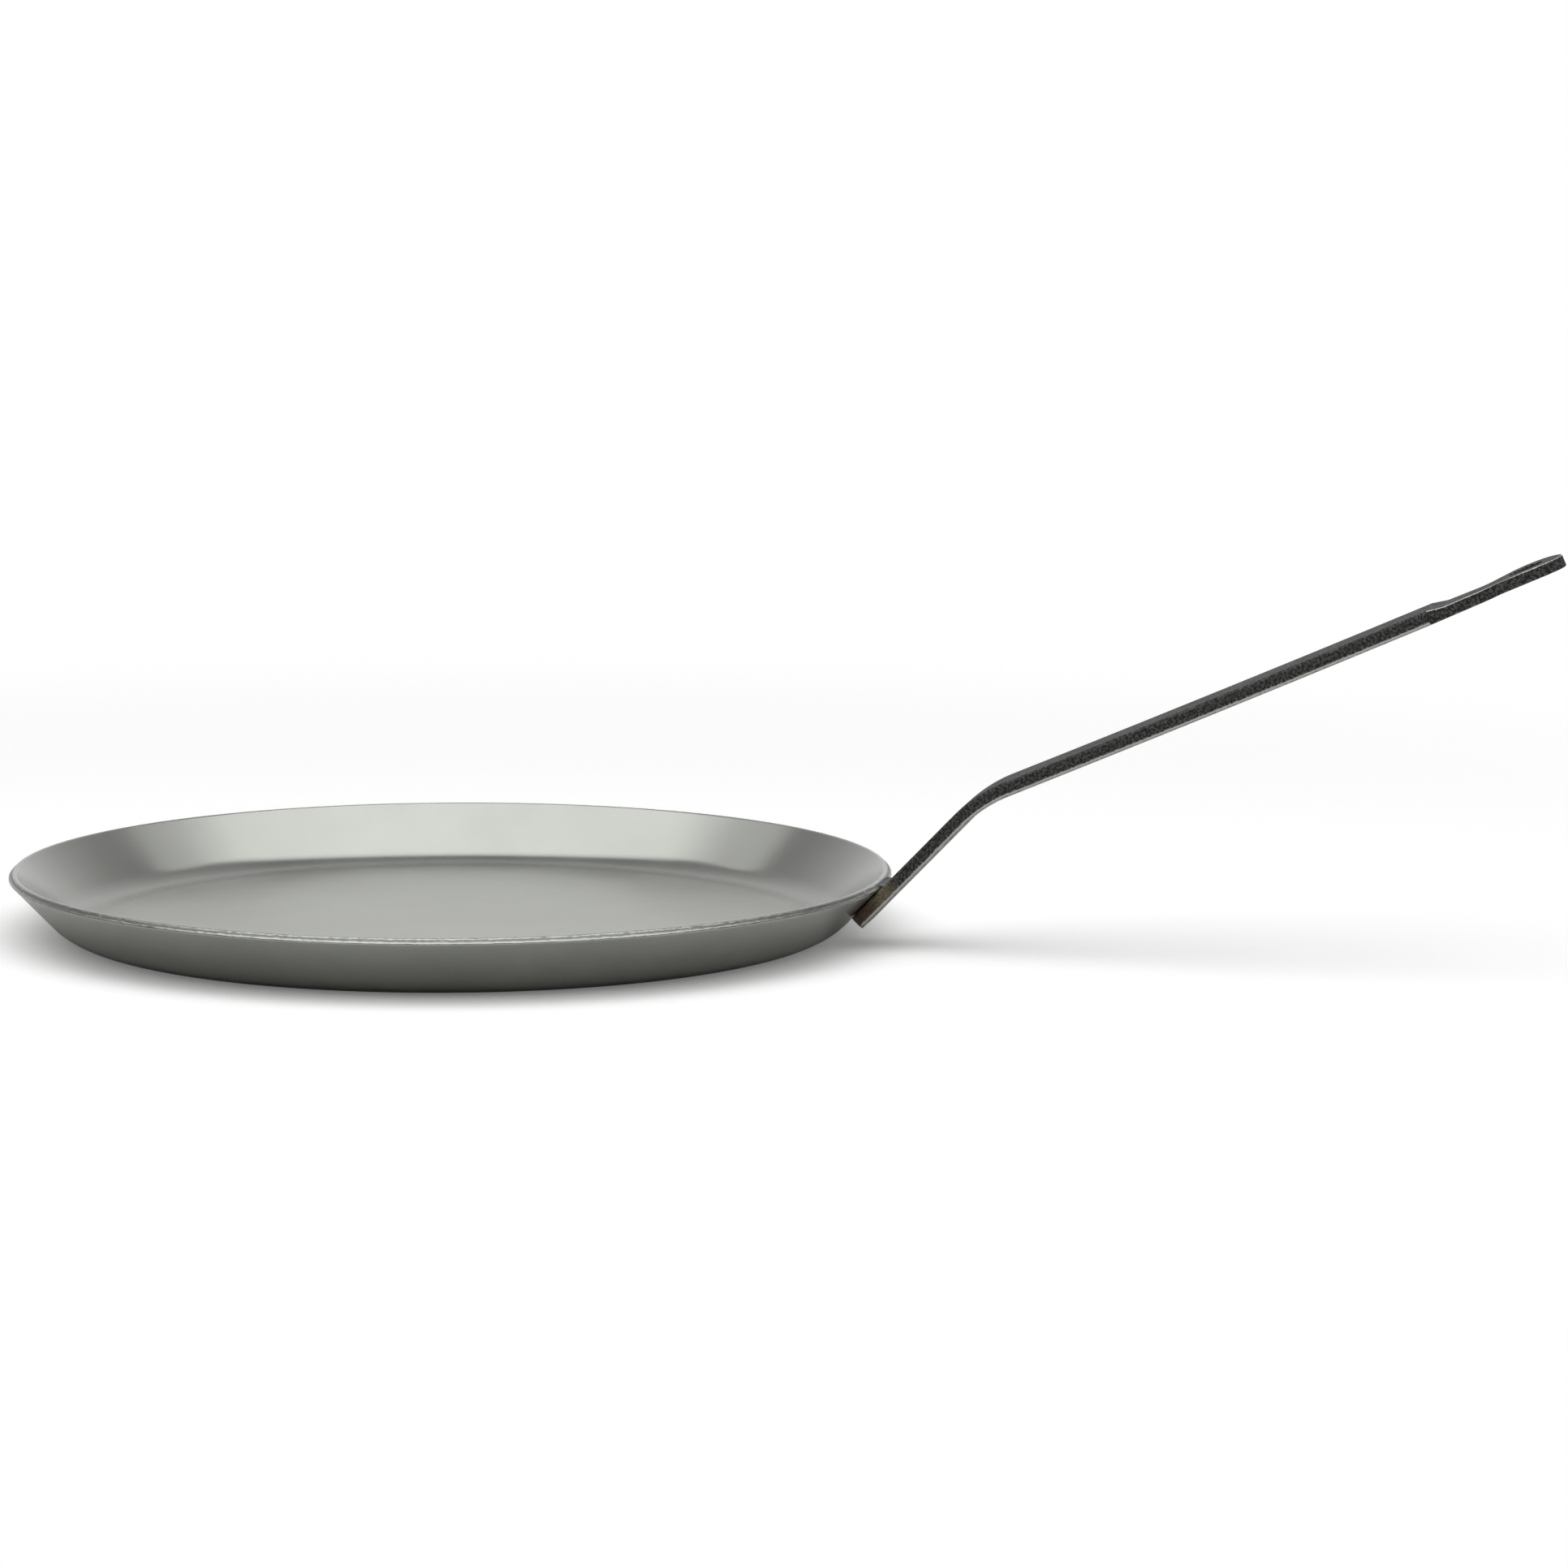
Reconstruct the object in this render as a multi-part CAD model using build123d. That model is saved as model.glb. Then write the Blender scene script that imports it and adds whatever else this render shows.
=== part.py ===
from build123d import *
import os
from math import cos, degrees, radians, sin, tan

# Crepe pan: a shallow steel dish with a flat strip handle welded under its rim.
# Lengths are millimetres and angles degrees. +Z is up and +X runs along the handle.
# The origin is the centre of the flat underside, where the pan stands.

# Dish, one sheet of steel pressed to a flat floor and a straight flared wall
rim_diameter = 240.0
pan_height = 18.0
sheet_thickness = 2.5
wall_angle = 46.0
floor_bend_radius = 14.0
rim_roll_radius = 0.8
rim_edge_break = 0.35

# Handle, one flat steel bar with rolled edges
bar_width = 20.0
bar_thickness = 4.0
bar_edge_radius = 1.0
tail_overlap = 10.8
tail_rise = 36.9
tail_bend_radius = 37.5
grip_angle = 23.0
grip_bow_radius = 8000.0
grip_length = 130.5

# Hanging end of the handle, pressed thinner and cut to a waisted tab
tab_thickness = 3.2
tab_length = 38.0
tab_radius = 10.4
tab_edge_break = 0.35
tab_ramp_length = 4.5
tab_crown = 0.5
tab_crown_length = 11.5
tab_crown_blend_radius = 60.0
shoulder_inset = 1.0
neck_taper_angle = 10.0
neck_fillet_radius = 12.0
hanging_hole_diameter = 10.0

# Welds
bead_length = 12.0
bead_leg = 1.6
bead_crown = 0.3
nugget_diameter = 7.0
nugget_depth_share = 0.55
nugget_flat_share = 0.6

# Every cut runs this far past the metal that it takes away
overrun = 1.0

rim_radius = rim_diameter / 2
slope = radians(wall_angle)
along_wall = Vector(cos(slope), sin(slope))
across_wall = Vector(-sin(slope), cos(slope))

# Outer edge of the cut rim, in the plane of a wall section: radius and height
rim_outer = Vector(rim_radius, pan_height - sheet_thickness * cos(slope))
rim_inner = rim_outer + across_wall * sheet_thickness


def dish_profile():
    """Half section of the dish: floor, bend, flared wall and the square-cut rim.

    Shearing the sheet rolls its inner corner over, and the outer corner's burr is broken off.
    """
    outer_bend = floor_bend_radius + sheet_thickness
    bend_run = outer_bend * sin(slope)
    bend_rise = outer_bend * (1 - cos(slope))
    wall_length = (rim_outer.Y - bend_rise) / sin(slope)
    wall_foot = rim_outer - along_wall * wall_length
    flat_radius = wall_foot.X - bend_run
    bend_centre = (flat_radius, outer_bend)

    underside = Line((0, 0), (flat_radius, 0))
    outer_arc = CenterArc(bend_centre, outer_bend, -90, wall_angle)
    outer_wall = Line(outer_arc @ 1, rim_outer)
    rim_cut = Line(rim_outer, rim_inner)
    inner_arc = CenterArc(bend_centre, floor_bend_radius, -90, wall_angle)
    inner_wall = Line(rim_inner, inner_arc @ 1)
    floor_line = Line((flat_radius, sheet_thickness), (0, sheet_thickness))
    axis_line = Line((0, sheet_thickness), (0, 0))
    section = make_face(
        [underside, outer_arc, outer_wall, rim_cut, inner_wall, inner_arc, floor_line, axis_line]
    )
    section = fillet(section.vertices().sort_by(Axis.Y)[-1], rim_roll_radius)
    return chamfer(section.vertices().sort_by(Axis.X)[-1], rim_edge_break)


def make_dish():
    return revolve(Plane.XZ * dish_profile(), Axis.Z)


def bar_path():
    """Middle line of the bar: up the wall, round the bend and out along the bowed grip."""
    tail_end = rim_outer - along_wall * tail_overlap - across_wall * (bar_thickness / 2)
    turn = wall_angle - grip_angle
    corner_to_bend = tail_bend_radius * tan(radians(turn / 2))
    tail_length = tail_overlap + tail_rise - corner_to_bend
    tail = Line(tail_end, tail_end + along_wall * tail_length)
    bend = JernArc(tail @ 1, tail % 1, tail_bend_radius, -turn)
    bow = degrees((grip_length - corner_to_bend) / grip_bow_radius)
    grip = JernArc(bend @ 1, bend % 1, grip_bow_radius, bow)
    return Wire([tail, bend, grip])


def make_bar():
    """The bar up to the tab's shoulder, its rolled edges carried round the bend."""
    path = Plane.XZ * bar_path()
    start = Plane(origin=path @ 0, x_dir=(0, 1, 0), z_dir=path % 0)
    section = start * RectangleRounded(bar_width, bar_thickness, bar_edge_radius)
    return sweep(section, path=path)


def grip_plane():
    """Plane of the grip's underside, its origin at the shoulder and X towards the tip."""
    path = Plane.XZ * bar_path()
    direction = path % 1
    up = Vector(-direction.Z, 0, direction.X)
    return Plane(origin=path @ 1 - up * (bar_thickness / 2), x_dir=direction, z_dir=up)


def tab_outline():
    """The tab seen from above: shoulder, tapering neck and round end."""
    end_centre = tab_length - tab_radius
    shoulder = bar_width / 2 - shoulder_inset
    taper = tan(radians(neck_taper_angle))
    neck = make_face(
        Polyline(
            (-overrun, -shoulder),
            (0, -shoulder),
            (end_centre, end_centre * taper - shoulder),
            (end_centre, shoulder - end_centre * taper),
            (0, shoulder),
            (-overrun, shoulder),
            close=True,
        )
    )
    outline = neck + Pos(end_centre, 0) * Circle(tab_radius)
    joins = [v for v in outline.vertices() if 0 < v.X < end_centre]
    return fillet(joins, neck_fillet_radius)


def tab_side():
    """The tab seen from the side: flat at the neck, slightly crowned round the hole."""
    end_centre = tab_length - tab_radius
    start = end_centre - tab_crown_length
    end = end_centre + tab_crown_length
    lift = Vector(0, tab_thickness)
    under = ThreePointArc((start, 0), (end_centre, tab_crown), (end, 0))
    over = ThreePointArc(lift + (start, 0), lift + (end_centre, tab_crown), lift + (end, 0))
    side = make_face(
        [
            Line((-overrun, 0), (start, 0)),
            under,
            Line((end, 0), lift + (end, 0)),
            over,
            Line(lift + (start, 0), lift + (-overrun, 0)),
            Line(lift + (-overrun, 0), (-overrun, 0)),
        ]
    )
    kinks = [v for v in side.vertices() if 0 < v.X < end_centre]
    return fillet(kinks, tab_crown_blend_radius)


def make_tab():
    """The hanging tab: a plate with broken edges and a ramp up to the bar's top face."""
    plate = extrude(Plane.XZ * tab_side(), bar_width, both=True)
    plate &= extrude(tab_outline(), bar_thickness, both=True)
    rims = [e for e in plate.edges() if (e @ 0.5).X > 0 and abs((e @ 0).Z - (e @ 1).Z) < tab_crown]
    plate = chamfer(rims, tab_edge_break)
    hole_centre = tab_length - tab_radius
    plate -= Pos(hole_centre, 0) * Cylinder(hanging_hole_diameter / 2, bar_thickness * 4)
    side = make_face(
        Polyline(
            (-overrun, 0),
            (tab_ramp_length, 0),
            (tab_ramp_length, tab_thickness),
            (0, bar_thickness),
            (-overrun, bar_thickness),
            close=True,
        )
    )
    ramp = extrude(Plane.XZ * side, bar_width, both=True)
    ramp &= extrude(tab_outline(), bar_thickness)
    return grip_plane() * (plate + ramp)


def make_bead():
    """Fillet weld laid in the corner between the cut rim and the bar."""
    toe_on_rim = rim_outer + across_wall * bead_leg
    toe_on_bar = rim_outer + along_wall * bead_leg
    outward = (toe_on_rim + toe_on_bar - rim_outer * 2).normalized()
    crown = (toe_on_rim + toe_on_bar) * 0.5 + outward * bead_crown
    inward = along_wall * -overrun
    section = make_face(
        [
            Line(rim_outer + inward, toe_on_bar),
            ThreePointArc(toe_on_bar, crown, toe_on_rim),
            Line(toe_on_rim, toe_on_rim + inward),
            Line(toe_on_rim + inward, rim_outer + inward),
        ]
    )
    return extrude(Plane.XZ * section, bead_length / 2, both=True)


def make_nugget():
    """Resistance weld between wall and bar: a disc of metal melted into both."""
    radius = nugget_diameter / 2
    flat = radius * nugget_flat_share
    depth = sheet_thickness * nugget_depth_share
    half = make_face(
        Polyline((0, -depth), (flat, -depth), (radius, 0), (flat, depth), (0, depth), close=True)
    )
    centre = rim_outer - along_wall * (tail_overlap / 2)
    seat = Plane(
        origin=(centre.X, 0, centre.Y),
        x_dir=(along_wall.X, 0, along_wall.Y),
        z_dir=(across_wall.X, 0, across_wall.Y),
    )
    return seat * revolve(Plane.XZ * half, Axis.Z)


nugget = make_nugget()
dish = make_dish() - nugget
handle = make_bar() + make_tab() - nugget
bead = make_bead() - dish

os.makedirs("parts", exist_ok=True)
export_step(dish, "parts/dish.step")
export_step(handle, "parts/handle.step")
export_step(bead, "parts/rim_weld.step")
export_step(nugget, "parts/spot_weld.step")
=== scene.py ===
from functools import partial
from math import atan2, ceil, cos, pi, radians, sin, sqrt, tan

import bmesh
import bpy
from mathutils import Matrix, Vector


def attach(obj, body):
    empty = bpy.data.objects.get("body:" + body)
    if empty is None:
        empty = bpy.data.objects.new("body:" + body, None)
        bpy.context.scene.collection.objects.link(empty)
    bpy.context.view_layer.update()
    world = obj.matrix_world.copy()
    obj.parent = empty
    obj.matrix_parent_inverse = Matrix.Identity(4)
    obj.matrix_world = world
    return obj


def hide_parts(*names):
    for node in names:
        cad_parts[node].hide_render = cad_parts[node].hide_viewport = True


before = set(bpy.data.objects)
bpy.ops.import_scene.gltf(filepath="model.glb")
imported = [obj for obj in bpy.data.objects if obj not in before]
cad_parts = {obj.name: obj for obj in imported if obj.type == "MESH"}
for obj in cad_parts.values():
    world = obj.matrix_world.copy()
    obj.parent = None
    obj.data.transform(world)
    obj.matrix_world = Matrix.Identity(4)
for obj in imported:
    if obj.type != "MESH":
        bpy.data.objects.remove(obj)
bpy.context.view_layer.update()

scene = bpy.context.scene
mm = 0.001
white = (1, 1, 1, 1)
weldDistance = 1e-6  # points nearer than this, in metres, are one point
noiseTop = 0.62  # noise hardly passes this, so noise less this only pushes inwards


def linear(hexColour):
    # a colour written as sRGB, as the linear colour that a socket takes
    written = [int(hexColour[i : i + 2], 16) / 255 for i in (1, 3, 5)]
    lit = [c / 12.92 if c <= 0.04045 else ((c + 0.055) / 1.055) ** 2.4 for c in written]
    return (*lit, 1)


def addNode(tree, kind, inputs=(), **settings):
    # inputs go by socket from a dictionary, or in order from a tuple: a node stands for its
    # first output in use, and a hex colour is made linear
    node = tree.nodes.new(kind)
    for name, value in settings.items():
        setattr(node, name, value)
    pairs = inputs.items() if isinstance(inputs, dict) else enumerate(inputs)
    for socket, value in pairs:
        if isinstance(value, bpy.types.Node):
            value = next(output for output in value.outputs if output.enabled)
        if isinstance(value, bpy.types.NodeSocket):
            tree.links.new(value, node.inputs[socket])
        elif isinstance(value, str) and value.startswith("#"):
            node.inputs[socket].default_value = linear(value)
        else:
            node.inputs[socket].default_value = value
    return node


def newMaterial(name):
    material = bpy.data.materials.new(name)
    material.use_nodes = True
    material.node_tree.nodes.clear()
    return material, material.node_tree


def dress(piece, material):
    piece.data.materials.clear()
    piece.data.materials.append(material)


def newTree(name, sockets):
    # Geometry Nodes group that takes a mesh and named values, and gives a mesh
    tree = bpy.data.node_groups.new(name, "GeometryNodeTree")
    face = tree.interface
    face.new_socket("Geometry", in_out="INPUT", socket_type="NodeSocketGeometry")
    for kind, names in sockets.items():
        for each in names:
            face.new_socket(each, in_out="INPUT", socket_type="NodeSocket" + kind)
    face.new_socket("Geometry", in_out="OUTPUT", socket_type="NodeSocketGeometry")
    return tree, addNode(tree, "NodeGroupInput").outputs


def finishTree(tree, shape, material):
    # instances are made real, because the export drops them
    real = addNode(tree, "GeometryNodeRealizeInstances", {"Geometry": shape})
    painted = addNode(tree, "GeometryNodeSetMaterial", {"Geometry": real, "Material": material})
    addNode(tree, "NodeGroupOutput", (painted,))


def runTree(name, tree, base, values):
    # the tree's result on a base mesh, as a plain mesh with no modifier left
    source = bpy.data.objects.new(name + "Source", base)
    scene.collection.objects.link(source)
    modifier = source.modifiers.new("shape", "NODES")
    modifier.node_group = tree
    for item in tree.interface.items_tree:
        if item.in_out == "INPUT" and item.name in values:
            modifier[item.identifier] = values[item.name]
    bpy.context.view_layer.update()
    graph = bpy.context.evaluated_depsgraph_get()
    made = bpy.data.meshes.new_from_object(source.evaluated_get(graph))
    made.name = name
    bpy.data.objects.remove(source)
    piece = bpy.data.objects.new(name, made)
    scene.collection.objects.link(piece)
    return piece


def handOver(piece, node):
    # the finished piece stands for its CAD node
    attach(piece, "root")
    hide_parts(node)
    print(piece.name, "done:", len(piece.data.polygons), "faces")


view = {
    # fitted to the photograph: degrees, metres, and millimetres for the lens and its sensor
    "azimuth": 10.657,
    "elevation": 8.392,
    "distance": 2.2590,
    "aim": (0.08908, 0.01676, 0.04048),
    "lens": 190.9,
    "sensor": 36,
    "clipEnd": 50,
}


def makeCamera():
    camera = bpy.data.objects.new("camera", bpy.data.cameras.new("camera"))
    scene.collection.objects.link(camera)
    a, e = radians(view["azimuth"]), radians(view["elevation"])
    back = Vector((sin(a) * cos(e), -cos(a) * cos(e), sin(e)))
    camera.location = Vector(view["aim"]) + back * view["distance"]
    camera.rotation_euler = (-back).to_track_quat("-Z", "Y").to_euler()
    camera.data.lens = view["lens"]
    camera.data.sensor_width = view["sensor"]
    camera.data.clip_end = view["clipEnd"]
    scene.camera = camera
    print("camera done")


studio = {
    # soft boxes: height and size in metres, shift from the pan to the right and away from the
    # camera, and how bright they look
    "boxes": {
        "boxMiddle": {
            "height": 1.50, "size": (2.10, 1.80), "shift": (-0.05, -0.45), "radiance": 0.35
        },
        "boxBorder": {
            "height": 1.49, "size": (2.90, 2.39), "shift": (0.00, -0.56), "radiance": 0.85
        },
        "boxLeft": {
            "height": 1.49, "size": (0.80, 0.65), "shift": (-1.35, 0.97), "radiance": 0.55
        },
        "boxRight": {
            "height": 1.49, "size": (0.65, 0.50), "shift": (1.15, 0.88), "radiance": 0.50
        },
    },
    # room: dim, with a pale backdrop behind the pan that falls off to all sides
    "roomGrey": 0.16,
    "backdropGrey": 0.75,
    "backdropLift": 0.1,
    "backdropEdge": 0.30,
    "backdropCore": 1.0,
    "backdropFall": 2.2,
    "floorSize": 20.0,
    "floorColour": "#E6E6E4",
    # how the floor shows to the camera: white where it is unshaded, with the shadows kept,
    # and plain white from these distances on
    "floorShares": (1.0, 0.25),
    "floorGlow": 0.15,
    "floorFade": (0.30, 0.60),
}


def makeLamps(turn, right, ahead):
    # one large soft box over the pan, brighter in its middle, with a wing at either side
    for name, part in studio["boxes"].items():
        lamp = bpy.data.objects.new(name, bpy.data.lights.new(name, "AREA"))
        scene.collection.objects.link(lamp)
        lamp.data.shape = "RECTANGLE"
        lamp.data.size, lamp.data.size_y = part["size"]
        lamp.data.energy = part["radiance"] * pi * part["size"][0] * part["size"][1]
        spot = right * part["shift"][0] + ahead * part["shift"][1]
        lamp.location = (spot.x, spot.y, part["height"])
        lamp.rotation_euler = (0, 0, turn)
        lamp.visible_camera = False


def makeRoom(ahead):
    # white to the camera, and a dim room to the pan
    world = bpy.data.worlds.new("room")
    scene.world = world
    world.use_nodes = True
    world.node_tree.nodes.clear()
    add = partial(addNode, world.node_tree)
    core = tuple((ahead + Vector((0, 0, studio["backdropLift"]))).normalized())
    place = add("ShaderNodeTexCoord").outputs["Generated"]
    towards = add("ShaderNodeVectorMath", (place, core), operation="DOT_PRODUCT")
    near = add(
        "ShaderNodeMapRange",
        {
            "Value": towards,
            "From Min": studio["backdropEdge"],
            "From Max": studio["backdropCore"],
        },
    )
    fall = add("ShaderNodeMath", (near, studio["backdropFall"]), operation="POWER")
    grey = add(
        "ShaderNodeMapRange",
        {"Value": fall, "To Min": studio["roomGrey"], "To Max": studio["backdropGrey"]},
    )
    room = add("ShaderNodeBackground", {"Color": white, "Strength": grey})
    backdrop = add("ShaderNodeBackground", {"Color": white, "Strength": 1.0})
    seen = add("ShaderNodeLightPath").outputs["Is Camera Ray"]
    add("ShaderNodeOutputWorld", (add("ShaderNodeMixShader", (seen, room, backdrop)),))


def makeFloor():
    half = studio["floorSize"] / 2
    corners = [(-half, -half, 0), (half, -half, 0), (half, half, 0), (-half, half, 0)]
    floor = bpy.data.objects.new("floor", bpy.data.meshes.new("floor"))
    floor.data.from_pydata(corners, [], [(0, 1, 2, 3)])
    scene.collection.objects.link(floor)
    material, tree = newMaterial("matt white board")
    add = partial(addNode, tree)
    board = add("ShaderNodeBsdfDiffuse", {"Color": studio["floorColour"]})
    shown = add("ShaderNodeEmission", {"Color": white, "Strength": studio["floorGlow"]})
    for share in studio["floorShares"]:
        bright = add("ShaderNodeBsdfDiffuse", {"Color": (share, share, share, 1)})
        shown = add("ShaderNodeAddShader", (shown, bright))
    paper = add("ShaderNodeEmission", {"Color": white, "Strength": 1.0})
    place = add("ShaderNodeTexCoord").outputs["Object"]
    reach = add("ShaderNodeVectorMath", (place,), operation="LENGTH")
    near, far = studio["floorFade"]
    fade = add(
        "ShaderNodeMapRange",
        {"Value": reach, "From Min": near, "From Max": far},
        interpolation_type="SMOOTHSTEP",
    )
    toCamera = add("ShaderNodeMixShader", (fade, shown, paper))
    seen = add("ShaderNodeLightPath").outputs["Is Camera Ray"]
    add("ShaderNodeOutputMaterial", (add("ShaderNodeMixShader", (seen, board, toCamera)),))
    dress(floor, material)


def makeStudio():
    turn = radians(view["azimuth"])
    right = Vector((cos(turn), sin(turn), 0))
    ahead = Vector((-sin(turn), cos(turn), 0))
    makeLamps(turn, right, ahead)
    makeRoom(ahead)
    makeFloor()
    print("studio done")


dishSettings = {
    # millimetres and degrees, as in the part's source
    "rimRadius": 120.0,
    "height": 18.0,
    "sheet": 2.5,
    "wallAngle": 46.0,
    "innerBend": 14.0,
    "innerEdge": 0.8,
    "outerEdge": 0.35,
    "stepsRound": 1080,
    "bendSteps": 16,
    "edgeSteps": 4,
    # where the section's straight lines have points, as shares of their lengths
    "floorStops": (0, 0.02, 0.1, 0.25, 0.5, 0.75, 0.9, 0.97, 0.993),
    "innerWallStops": (0.05, 0.2, 0.5, 0.8, 0.95, 0.985),
    "cutStops": (0.05, 0.25, 0.5, 0.75, 0.95),
    "outerWallStops": (0.015, 0.05, 0.2, 0.5, 0.8, 0.95),
    "undersideStops": (0.007, 0.03, 0.1, 0.25, 0.5, 0.75, 0.9, 0.98, 1.0),
    # wear of the cut rim: it starts and is full this far in from the rim
    "wearDepth": 0.05,
    "wearSize": 3.0,
    "wearStart": 3.0,
    "wearFull": 1.0,
    "seed": 7,
}


steelSettings = {
    # noise patterns, with their scale per metre: patches of 36 mm, streaks along the cut of
    # 0.7 mm, scuffs of 1.1 mm, and a grain of 0.6 mm, coarser than the real one so that it shows
    "cloud": {"Scale": 28.0, "Detail": 4.0, "Roughness": 0.55},
    "streak": {"Scale": 1400.0, "Detail": 3.0, "Roughness": 0.6},
    "scuff": {"Scale": 900.0, "Detail": 2.0},
    "grain": {"Scale": 1800.0, "Detail": 2.0},
    "streakStretch": (0.35, 1.0, 1.0),
    "cloudSpan": {"From Min": 0.35, "From Max": 0.65},
    "scuffSpan": {"From Min": 0.35, "From Max": 0.7},
    # distance from the axis, in metres, over which the floor's rougher finish and painted lighter
    # tint give way to the wall's
    "floorToWallSpan": {"From Min": 0.096, "From Max": 0.103},
    # 6 and 7 are the sockets of a Mix node's two colours
    "wallTints": {6: "#B2B4AE", 7: "#BABCB6"},
    # painted light: the floor's tints are lighter than the wall's, standing in for the brighter
    # light the floor shows
    "floorPaintedLightTints": {6: "#CCCEC8", 7: "#D4D6D0"},
    "tornTint": "#7C7D7A",
    # cut face, in metres: middle of the torn band, its edge, how far that wanders, and depth
    "tornMiddle": 0.00115,
    "tornSpan": {"From Min": 0.00025, "From Max": 0.00055, "To Min": 1.0, "To Max": 0.0},
    "tornWander": {"From Min": 0.3, "From Max": 0.7, "To Min": -0.0003, "To Max": 0.0003},
    "cutSpan": {"From Min": 0.0002, "From Max": 0.0005, "To Min": 1.0, "To Max": 0.0},
    "roughness": {"To Min": 0.40, "To Max": 0.19},
    "cloudRoughness": {"To Min": -0.02, "To Max": 0.02},
    "tornRoughness": 0.18,
    "grainShare": 0.05,
    "bump": {"Strength": 0.35, "Distance": 0.0002},
    # the thin wax that keeps new carbon steel from rust: it shows at low angles only
    "wax": {"Coat Weight": 1.0, "Coat Roughness": 0.62, "Coat IOR": 1.6},
}


def satinSteel():
    # cold rolled carbon steel: a soft satin grey, with a dull band where the sheet was sheared
    s = steelSettings
    material, tree = newMaterial("carbon steel sheet satin")
    add = partial(addNode, tree)
    place = add("ShaderNodeTexCoord").outputs["Object"]

    # the wall and bend are smoother and keep the darker tint; the floor is duller, and its tint
    # is painted lighter than the wall's, as painted light for the brighter light the floor shows
    cloud = add("ShaderNodeTexNoise", {"Vector": place, **s["cloud"]})
    level = add("ShaderNodeVectorMath", (place, (1, 1, 0)), operation="MULTIPLY")
    radius = add("ShaderNodeVectorMath", (level,), operation="LENGTH")
    patch = add("ShaderNodeMapRange", {"Value": cloud, **s["cloudSpan"]})
    wallShare = add("ShaderNodeMapRange", {"Value": radius, **s["floorToWallSpan"]})
    wall = add("ShaderNodeMix", {0: patch, **s["wallTints"]}, data_type="RGBA")
    # painted light: the floor takes the lighter tints
    skin = add("ShaderNodeMix", {0: patch, **s["floorPaintedLightTints"]}, data_type="RGBA")
    plain = add("ShaderNodeMix", {0: wallShare, 6: skin, 7: wall}, data_type="RGBA")

    # cut face: the middle of the sheet tore and stayed dull, both corners are rubbed bright
    marks = add("ShaderNodeAttribute", attribute_name="cutPlace").outputs["Vector"]
    cut = add("ShaderNodeSeparateXYZ", (marks,)).outputs
    along = add("ShaderNodeMapping", {"Vector": marks, "Scale": s["streakStretch"]})
    streak = add("ShaderNodeTexNoise", {"Vector": along, **s["streak"]})
    across = add("ShaderNodeMath", (cut[2], s["tornMiddle"]), operation="SUBTRACT")
    across = add("ShaderNodeMath", (across,), operation="ABSOLUTE")
    wander = add("ShaderNodeMapRange", {"Value": streak, **s["tornWander"]})
    across = add("ShaderNodeMath", (across, wander), operation="ADD")
    torn = add("ShaderNodeMapRange", {"Value": across, **s["tornSpan"]})
    onCut = add("ShaderNodeMapRange", {"Value": cut[1], **s["cutSpan"]})
    dull = add("ShaderNodeMath", (torn, onCut), operation="MULTIPLY")
    tint = add("ShaderNodeMix", {0: dull, 6: plain, 7: s["tornTint"]}, data_type="RGBA")

    rough = add("ShaderNodeMapRange", {"Value": radius, **s["floorToWallSpan"], **s["roughness"]})
    patchy = add("ShaderNodeMapRange", {"Value": cloud, **s["cloudSpan"], **s["cloudRoughness"]})
    rough = add("ShaderNodeMath", (rough, patchy), operation="ADD")
    duller = add("ShaderNodeMath", (dull, s["tornRoughness"]), operation="MULTIPLY")
    rough = add("ShaderNodeMath", (rough, duller), operation="ADD")
    scuff = add("ShaderNodeTexNoise", {"Vector": along, **s["scuff"]})
    scuff = add("ShaderNodeMapRange", {"Value": scuff, **s["scuffSpan"]})
    scuff = add("ShaderNodeMath", (scuff, onCut), operation="MULTIPLY")
    grain = add("ShaderNodeTexNoise", {"Vector": place, **s["grain"]})
    grain = add("ShaderNodeMath", (grain, s["grainShare"]), operation="MULTIPLY")
    height = add("ShaderNodeMath", (grain, scuff), operation="ADD")
    bump = add("ShaderNodeBump", {"Height": height, **s["bump"]})
    shader = add(
        "ShaderNodeBsdfPrincipled",
        {
            "Base Color": tint,
            "Metallic": 1.0,
            "Roughness": rough,
            "Normal": bump,
            "Coat Normal": bump,
            **s["wax"],
        },
    )
    add("ShaderNodeOutputMaterial", (shader,))
    return material


def rimCorner():
    # in a wall's section: outer corner of the cut rim, up the wall, and through the sheet
    s = dishSettings
    slope = radians(s["wallAngle"])
    corner = Vector((s["rimRadius"], s["height"] - s["sheet"] * cos(slope)))
    return corner, Vector((cos(slope), sin(slope))), Vector((-sin(slope), cos(slope)))


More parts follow.
